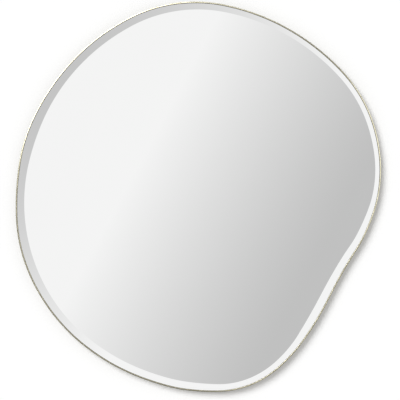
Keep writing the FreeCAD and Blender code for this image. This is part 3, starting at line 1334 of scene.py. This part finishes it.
@dataclass
class WallBumpers:
    """Moulded rubber bumpers: a slight draft, a rounded face and a shallow dish in it.

    Attributes:
        steps: Steps round a bumper.
        draft: How much narrower it is at the wall.
        foot_round: Radius of the corner at its foot.
        rounding: Radius of its outer corner.
        lip_round: Radius of the dish's lip.
        dish_depth: Depth of the dish.
        rings: Radii of the foot, the lip and the dish's floor, as shares of the bumper's.
    """

    steps: int = 96
    draft: float = 0.6 * MM
    foot_round: float = 0.35 * MM
    rounding: float = 1.3 * MM
    lip_round: float = 0.5 * MM
    dish_depth: float = 0.8 * MM
    rings: tuple = (0.6, 0.5, 0.36, 0.2)

    def profile(self, radius: float, height: float) -> tuple[np.ndarray, np.ndarray]:
        """Work out the profile, from the middle of the foot to that of the dish.

        Args:
            radius: Radius of the foot.
            height: Height of the bumper.

        Returns:
            Radius and height at each step.
        """
        foot, lip, outer, inner = (share * radius for share in self.rings)
        a, b, c = self.foot_round, self.rounding, self.lip_round
        floor = height - self.dish_depth
        run = np.vstack([
            [[0.0, 0.0], [foot, 0.0]],
            corner_arc((radius - a, a), a, -90, 20, 5),
            corner_arc((radius - self.draft - b, height - b), b, 4, 90, 9),
            corner_arc((lip, height - c), c, 90, 165, 5),
            [[outer, floor], [inner, floor], [0.0, floor]],
        ])
        return run[:, 0], run[:, 1]

    def build(self, rubber: Material) -> None:
        """Make each bumper in place of its node.

        Args:
            rubber: Their material.
        """
        for name in names_from(BUMPERS):
            low, high = node_box(name)
            radii, heights = self.profile((high[0] - low[0]) / 2, high[1] - low[1])
            net = revolved((low + high)[[0, 2]] / 2, radii, low[1] + heights, self.steps)
            piece = Piece(f"rubber_bumper_{name.removeprefix(BUMPERS)}", [net], [rubber])
            piece.settle(Slot.BUMPER, name)


@dataclass
class WeldBeads:
    """Beads of filler metal that join the tabs and hangers to the rim.

    Attributes:
        radius: Radius of a bead.
        ripple: Spacing of its ripples.
        swell: How much thicker it is at a ripple, as a share.
        full: Power that keeps it full towards its ends.
        gap: How far it stops short of the plate's ends.
        root: A plate's points nearer to the wall than this belong to its root.
        step: Spacing of its rings.
        sides: Points round each ring.
    """

    radius: float = 1.0 * MM
    ripple: float = 1.25 * MM
    swell: float = 0.1
    full: int = 8
    gap: float = 1.5 * MM
    root: float = 0.3 * MM
    step: float = 0.35 * MM
    sides: int = 14

    def bead(self, wall: Outline, plate: str, depth: float) -> Net:
        """Make a rippled bead along the corner between the rim's inner wall and a plate.

        Its middle line is the wall's outline between the ends of the plate's root.  Its radius
        is the bead's, swelling with each ripple, and rounds off to nothing at both ends.

        Args:
            wall: The rim's inner outline.
            plate: Node of the plate.
            depth: Depth of the corner.

        Returns:
            The net, closed round the bead.
        """
        place, away = wall.place_of(node_points(plate)[:, [0, 2]])
        on_wall = place[away < self.root]
        turned = (on_wall - on_wall[0] + wall.length / 2) % wall.length - wall.length / 2
        start = on_wall[0] + turned.min() + self.gap
        end = on_wall[0] + turned.max() - self.gap
        run = np.linspace(start, end, int((end - start) / self.step))
        share = (run - start) / (end - start) * 2 - 1
        ends = np.sqrt(np.clip(1 - np.abs(share) ** self.full, 0, 1))
        ripples = 1 + self.swell * np.abs(np.sin(math.pi * run / self.ripple))
        radius = (self.radius * ends * ripples)[:, None]
        angle = np.linspace(0, 2 * math.pi, self.sides + 1)
        reach = (radius * np.cos(angle[:-1]))[..., None]
        flat = wall.at(run)[:, None] + wall.outward(run, self.step)[:, None] * reach
        mesh = raised(flat, depth + radius * np.sin(angle[:-1]))
        return Net(mesh, run - start, angle * self.radius)

    def build(self, metal: Material) -> Piece:
        """Make all beads as one piece beside the nodes that they join.

        Args:
            metal: Their material.

        Returns:
            The piece.
        """
        wall = rim_outline(outer=False)
        nets = [self.bead(wall, name, node_box(name)[0][1]) for name in names_from(HANGERS)]
        nets += [self.bead(wall, name, node_box(name)[1][1]) for name in names_from(TABS)]
        return Piece("weld_beads", nets, [metal]).settle(Slot.TAB)


# ---------------------------------------------------------------- finishes of the whole mirror

class Wardrobe:
    """Every finish of the mirror as a material, made once."""

    def __init__(self) -> None:
        """Make the shared effects and the materials."""
        effects = Effects()
        finishes = [
            Silvering("silvered_glass_face"),
            GroundGlass("ground_glass_edge"),
            Moulded("mirror_back_paint", main=(0.24, 0.25, 0.26), other=(0.3, 0.31, 0.31),
                    grain=0.0009, roughness=0.5, dust=0.0),
            BrushedMetal("brushed_brass_rim", Lay.SURFACE, edge_layer="worn_edge", seam=7 * MM),
            # The rim's inner wall: a dull unbrushed inside, whose dark brown is painted shade that
            # stands in for the shadow in the gap between glass and rim.
            Moulded("rim_inside_dull_and_painted_gap_shade", main=(0.22, 0.19, 0.13), other=(0.28, 0.24, 0.17),
                    grain=0.0008, roughness=0.6, dust=0.1),
            PlatedSteel("brass_plated_steel"),
            PlatedSteel("weld_metal", bright=(0.52, 0.47, 0.38), dull=(0.30, 0.25, 0.20)),
            PlatedSteel("zinc_plated_screw", bright=(0.74, 0.74, 0.72), dull=(0.56, 0.57, 0.58)),
            PaintedBoard("black_painted_fibreboard"),
            Moulded("black_rubber", roughness=0.62, grain=0.0007, dust=0.3),
            Moulded("grey_safety_film", main=(0.62, 0.63, 0.64), other=(0.56, 0.57, 0.59),
                    grain=0.0016, relief=0.00002, roughness=0.42, dust=0.0),
            Moulded("white_foam_tape", main=(0.78, 0.77, 0.75), other=(0.7, 0.69, 0.66),
                    grain=0.0005, relief=0.0002, roughness=0.85, dust=0.0, sheen=0.1),
            Moulded("cured_adhesive", main=(0.74, 0.72, 0.66), other=(0.66, 0.63, 0.55),
                    grain=0.003, relief=0.0003, roughness=0.5, dust=0.0),
        ]
        self.made = {finish.name: finish.material(effects) for finish in finishes}

    def __getitem__(self, name: str) -> Material:
        """Give a material by its finish's name."""
        return self.made[name]


@dataclass
class CarriedNodes:
    """The CAD nodes whose shapes stay as they are, and get their finish here.

    Attributes:
        finish_of: Finish by the start of a node's name.
    """

    finish_of: dict = field(default_factory=lambda: {
        "safety_film": "grey_safety_film",
        "adhesive_beads": "cured_adhesive",
        "glass_edge_pads": "black_rubber",
        "mounting_tape_": "white_foam_tape",
        "backing_board": "black_painted_fibreboard",
        TABS: "brass_plated_steel",
        HANGERS: "brass_plated_steel",
    })

    def dress(self, wardrobe: Wardrobe) -> None:
        """Give each node that is still shown the finish of its kind."""
        for name, node in sorted(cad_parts.items()):
            if node.hide_render:
                continue
            finish = next(f for start, f in self.finish_of.items() if name.startswith(start))
            node.data.materials.clear()
            node.data.materials.append(wardrobe[finish])
            LOG.info("%s: kept from the frame, %s", name, finish)


# ---------------------------------------------------------------- the studio

@dataclass
class StudioLight:
    """A soft key from the upper left, a weak light from behind and a pale room.

    The room is told by direction.  Its glossy side is what a mirror shows: towards the viewer
    it falls from a bright card at the left to a grey one at the lower right.  Round them is a
    ring that is darker at the upper left, then a room with bright cards, then an even room
    beside the mirror, and one behind it.  Directions are written as slopes: u to the right and
    w upwards for one step towards the viewer.

    Attributes:
        fill: Even light from all sides on matt surfaces.
        key: Share of the key's light on a surface that faces the viewer.
        key_aside: Degrees between the key and the viewer's direction.
        key_turn: Degrees of the key's place round that direction, from the right.
        key_width: Degrees across the key.
        back_lamp: Direction of the lamp behind the mirror.
        back_light: Its light on a surface square to it.
        back_width: Degrees across it.
        fall_angle: Degrees below the right to which the card's light falls.
        fall_start: Slope at which the fall starts.
        fall_end: Slope at which it ends.
        fall_bend: Power that makes it steeper where it starts than where it ends.
        card_bright: Light of the card before the fall.
        card_dark: Light of the card after it.
        ring_from: Slope where the card ends.
        ring_to: Slope from where only the ring beyond it shows.
        ring_bright: Light of the ring.
        ring_dip: How much darker it is on its dark side.
        dip_turn: Degrees of the dark side's place, from the right.
        dip_edge: Cosine of the angle from the dark side at which the ring is bright again.
        far_from: Slope where the room far to the side starts to show.
        far_to: Slope from where only that room shows.
        far_light: Its light between the cards.
        far_cards: Bright cards there: degrees of each one's place from the right, degrees from
            its middle to its edge, and the light that it adds.
        steep_from: Slope where the cards give way to the even room beside the mirror.
        steep_to: Slope from where only that room shows.
        steep_low: Its light straight below.
        steep_high: Its light straight above.
        rear_from: Share of a direction that points behind the mirror's plane, where the room
            there starts to show.
        rear_to: Share from where only that room shows.
        rear_light: Its light.
        LEAST: Least number that another is divided by.
    """

    fill: float = 0.47
    key: float = 0.53
    key_aside: float = 38.0
    key_turn: float = 136.0
    key_width: float = 33.0
    back_lamp: tuple = (0.5, 0.75, 0.6)
    back_light: float = 1.3
    back_width: float = 40.0
    fall_angle: float = 28.1
    fall_start: float = -0.047
    fall_end: float = 0.087
    fall_bend: float = 1.24
    card_bright: float = 0.916
    card_dark: float = 0.535
    ring_from: float = 0.17
    ring_to: float = 0.24
    ring_bright: float = 0.917
    ring_dip: float = 0.36
    dip_turn: float = 141.0
    dip_edge: float = -0.15
    far_from: float = 0.6
    far_to: float = 0.85
    far_light: float = 0.02
    far_cards: tuple = (
        (131.0, 48.0, 8.5), (80.0, 22.0, 1.4), (22.0, 22.0, 2.6), (356.0, 22.0, 2.2),
        (327.0, 22.0, 0.6), (292.0, 20.0, 0.7), (205.0, 50.0, 0.38),
    )
    steep_from: float = 3.0
    steep_to: float = 7.0
    steep_low: float = 0.14
    steep_high: float = 0.52
    rear_from: float = 0.35
    rear_to: float = 0.8
    rear_light: float = 0.85

    LEAST = 0.001

    def room(self, graph: Graph) -> Socket:
        """Work out the room's light in a direction.

        With slopes u and w, the card falls with s = u cos a - w sin a, for the fall's angle a.
        The ring darkens with the cosine between (u, w) and its dark side, and each far card is
        told by the cosine between (u, w) and its own place.

        Args:
            graph: The world's tree.

        Returns:
            The socket of the light.
        """
        towards = graph.node("ShaderNodeTexCoord").outputs["Generated"]
        x, y, z = graph.node("ShaderNodeSeparateXYZ", {0: towards}).outputs
        step = graph.math("MAXIMUM", graph.math("MULTIPLY", y, -1.0), self.LEAST)
        u, w = graph.math("DIVIDE", x, step), graph.math("DIVIDE", z, step)
        squares = graph.math("ADD", graph.math("MULTIPLY", u, u), graph.math("MULTIPLY", w, w))
        slope = graph.math("SQRT", squares)

        fallen = graph.ramp(self.turned(graph, u, w, -self.fall_angle), self.fall_start,
                            self.fall_end, smooth=False)
        left = graph.math("POWER", graph.math("SUBTRACT", 1.0, fallen, clamp=True), self.fall_bend)
        card = graph.math("MULTIPLY_ADD", left, self.card_bright - self.card_dark, self.card_dark)
        dip = graph.ramp(self.facing(graph, u, w, slope, self.dip_turn), self.dip_edge, 1.0, 0.0,
                         self.ring_dip, smooth=False)
        ring = graph.math("SUBTRACT", self.ring_bright, dip)
        near = graph.lead(graph.ramp(slope, self.ring_from, self.ring_to), card, ring)

        far = self.far_light
        for turn, spread, light in self.far_cards:
            edge = math.cos(math.radians(spread))
            shown = graph.ramp(self.facing(graph, u, w, slope, turn), edge, 1.0, 0.0, light)
            far = graph.math("ADD", far, shown)
        ahead = graph.lead(graph.ramp(slope, self.far_from, self.far_to), near, far)
        even = graph.ramp(z, -1.0, 1.0, self.steep_low, self.steep_high, smooth=False)
        beside = graph.lead(graph.ramp(slope, self.steep_from, self.steep_to), ahead, even)
        return graph.lead(graph.ramp(y, self.rear_from, self.rear_to), beside, self.rear_light)

    def facing(self, graph: Graph, u: object, w: object, slope: object, degrees: float) -> Socket:
        """Give the cosine between (u, w), of length slope, and the direction at an angle."""
        length = graph.math("MAXIMUM", slope, self.LEAST)
        return graph.math("DIVIDE", self.turned(graph, u, w, degrees), length)

    @staticmethod
    def turned(graph: Graph, u: object, w: object, degrees: float) -> Socket:
        """Give u cos a + w sin a."""
        upward = graph.math("MULTIPLY", w, math.sin(math.radians(degrees)))
        return graph.math("MULTIPLY_ADD", u, math.cos(math.radians(degrees)), upward)

    def sky(self) -> None:
        """Fill the world: white to the camera, the room to gloss, an even fill to the rest.

        Gloss that a matt surface sees gets the fill too, so that the rim throws no bright
        specks on the wall.
        """
        world = bpy.data.worlds.new("studio")
        world.use_nodes = True
        world.cycles.sampling_method = "NONE"
        graph = Graph(world.node_tree)
        path = graph.node("ShaderNodeLightPath").outputs
        no_matt_before = graph.math("LESS_THAN", path["Diffuse Depth"], 0.5)
        glossy = graph.math("MULTIPLY", path["Is Glossy Ray"], no_matt_before)
        shine = graph.blend(glossy, (self.fill, self.fill, self.fill), self.room(graph))
        direct = graph.math("MAXIMUM", path["Is Camera Ray"], path["Is Transmission Ray"])
        seen = graph.blend(direct, shine, WHITE)
        back = graph.node("ShaderNodeBackground", {"Color": seen, "Strength": 1.0})
        graph.node("ShaderNodeOutputWorld", {"Surface": back.outputs[0]})
        bpy.context.scene.world = world

    def lamp(self, name: str, towards: Vector, strength: float, width: float) -> None:
        """Add a far lamp, which shines on matt surfaces: gloss shows the room's own cards.

        Args:
            name: Its name.
            towards: Direction from the mirror to it.
            strength: Its strength on a surface square to it.
            width: Degrees across it.
        """
        light = bpy.data.lights.new(name, "SUN")
        light.energy = strength
        light.angle = math.radians(width)
        made = bpy.data.objects.new(name, light)
        made.rotation_mode = "QUATERNION"
        made.rotation_quaternion = towards.to_track_quat("Z", "Y")
        made.visible_glossy = False
        bpy.context.scene.collection.objects.link(made)

    def build(self) -> None:
        """Set up the world, the key and the lamp behind.

        The key's light on a face square to the viewer is its share of white.
        """
        self.sky()
        aside, turn = math.radians(self.key_aside), math.radians(self.key_turn)
        key = Vector((math.sin(aside) * math.cos(turn), -math.cos(aside),
                      math.sin(aside) * math.sin(turn)))
        self.lamp("key", key, self.key * math.pi / math.cos(aside), self.key_width)
        self.lamp("behind", Vector(self.back_lamp), self.back_light, self.back_width)


@dataclass
class Backdrop:
    """The wall that the mirror hangs on and the floor below it.

    The wall catches the mirror's shadow.  It is clear from behind and the floor from below, so
    that the mirror can be looked at from there.

    Attributes:
        wall_gap: Space between the bumpers and the wall.
        half: Half the size of wall and floor.
        floor_drop: How far the floor lies below the mirror's middle.
        paint: Share of light that they give back.
        uneven: How much darker the paint's patches are.
        patches: How many patches there are in a metre.
        wall_glow: Light that the wall adds towards the camera.
        floor_glow: Light that the floor adds towards the camera.
    """

    wall_gap: float = 0.2 * MM
    half: float = 6.0
    floor_drop: float = 1.5
    paint: float = 0.9
    uneven: float = 0.004
    patches: float = 3.0
    wall_glow: float = 0.12
    floor_glow: float = 0.1

    def plain(self, name: str, glow: float) -> Material:
        """Make a matt white paint that glows for the camera and is clear from behind.

        Args:
            name: Its name.
            glow: Light that it adds towards the camera.

        Returns:
            The new material.
        """
        made = bpy.data.materials.new(name)
        made.use_nodes = True
        graph = Graph(made.node_tree)
        vector = graph.node("ShaderNodeTexCoord").outputs["Object"]
        cloud = graph.noise(vector, self.patches)
        tone = graph.ramp(cloud, *NOISE, self.paint - self.uneven, self.paint)
        colour = graph.node("ShaderNodeCombineColor", {0: tone, 1: tone, 2: tone}).outputs[0]
        matt = graph.node("ShaderNodeBsdfDiffuse", {"Color": colour}).outputs[0]
        seen = graph.node("ShaderNodeLightPath").outputs["Is Camera Ray"]
        strength = graph.math("MULTIPLY", seen, glow)
        light = graph.node("ShaderNodeEmission", {"Strength": strength}).outputs[0]
        shown = graph.node("ShaderNodeAddShader", {0: matt, 1: light}).outputs[0]
        clear = graph.node("ShaderNodeBsdfTransparent").outputs[0]
        behind = graph.node("ShaderNodeNewGeometry").outputs["Backfacing"]
        mixed = graph.node("ShaderNodeMixShader", {0: behind, 1: shown, 2: clear}).outputs[0]
        graph.node("ShaderNodeOutputMaterial", {"Surface": mixed})
        return made

    def sheet(self, name: str, corners: list, paint: Material) -> None:
        """Add a flat backdrop that only the camera sees, and that casts no shadow.

        Args:
            name: Its name.
            corners: Its four corners.
            paint: Its material.
        """
        mesh = bpy.data.meshes.new(name)
        mesh.from_pydata(corners, [], [(0, 1, 2, 3)])
        mesh.materials.append(paint)
        made = bpy.data.objects.new(name, mesh)
        made.visible_diffuse = made.visible_glossy = False
        made.visible_transmission = made.visible_shadow = False
        bpy.context.scene.collection.objects.link(made)

    def build(self) -> None:
        """Put up the wall behind the mirror and lay the floor in front of it."""
        y, half, low = CAD_BOX[1].y + self.wall_gap, self.half, -self.floor_drop
        wall = [(-half, y, low), (half, y, low), (half, y, half), (-half, y, half)]
        floor = [(-half, -half, low), (half, -half, low), (half, half, low), (-half, half, low)]
        self.sheet("studio_wall", wall, self.plain("wall_paint", self.wall_glow))
        self.sheet("studio_floor", floor, self.plain("floor_paint", self.floor_glow))


@dataclass
class Viewpoint:
    """The camera: square to the mirror and far off.

    Attributes:
        distance: From the rim's front edge.
        pixels: Width of the picture.
        pixel: What one of them spans at the rim's front edge.
        aim_x: X of the picture's middle.
        aim_z: Z of the picture's middle.
        clip: Nearest and farthest distance that it sees.
    """

    distance: float = 3.5
    pixels: int = 400
    pixel: float = 2.321 * MM
    aim_x: float = 3.7 * MM
    aim_z: float = -7.45 * MM
    clip: tuple = (0.05, 50.0)

    def build(self) -> None:
        """Make the camera the scene's own."""
        data = bpy.data.cameras.new("viewpoint")
        data.lens = data.sensor_width * self.distance / (self.pixels * self.pixel)
        data.clip_start, data.clip_end = self.clip
        made = bpy.data.objects.new("viewpoint", data)
        made.location = (self.aim_x, node_box(RIM)[0][1] - self.distance, self.aim_z)
        made.rotation_euler = (math.radians(90), 0, 0)
        bpy.context.scene.collection.objects.link(made)
        bpy.context.scene.camera = made


# ---------------------------------------------------------------- the whole scene

def write_sizes() -> None:
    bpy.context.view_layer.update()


def main() -> None:
    """Build the studio, then the mirror piece by piece."""
    logging.basicConfig(level=logging.INFO, format="%(name)s: %(message)s")
    bpy.context.scene.view_settings.view_transform = "Standard"
    Viewpoint().build()
    StudioLight().build()
    Backdrop().build()
    wardrobe = Wardrobe()
    MirrorGlass().build(wardrobe["silvered_glass_face"], wardrobe["ground_glass_edge"],
                        wardrobe["mirror_back_paint"])
    RimBand().build(wardrobe["brushed_brass_rim"], wardrobe["rim_inside_dull_and_painted_gap_shade"])
    TabScrews().build(wardrobe["zinc_plated_screw"])
    WallBumpers().build(wardrobe["black_rubber"])
    WeldBeads().build(wardrobe["weld_metal"])
    CarriedNodes().dress(wardrobe)
    write_sizes()


if __name__ == "__main__":
    main()
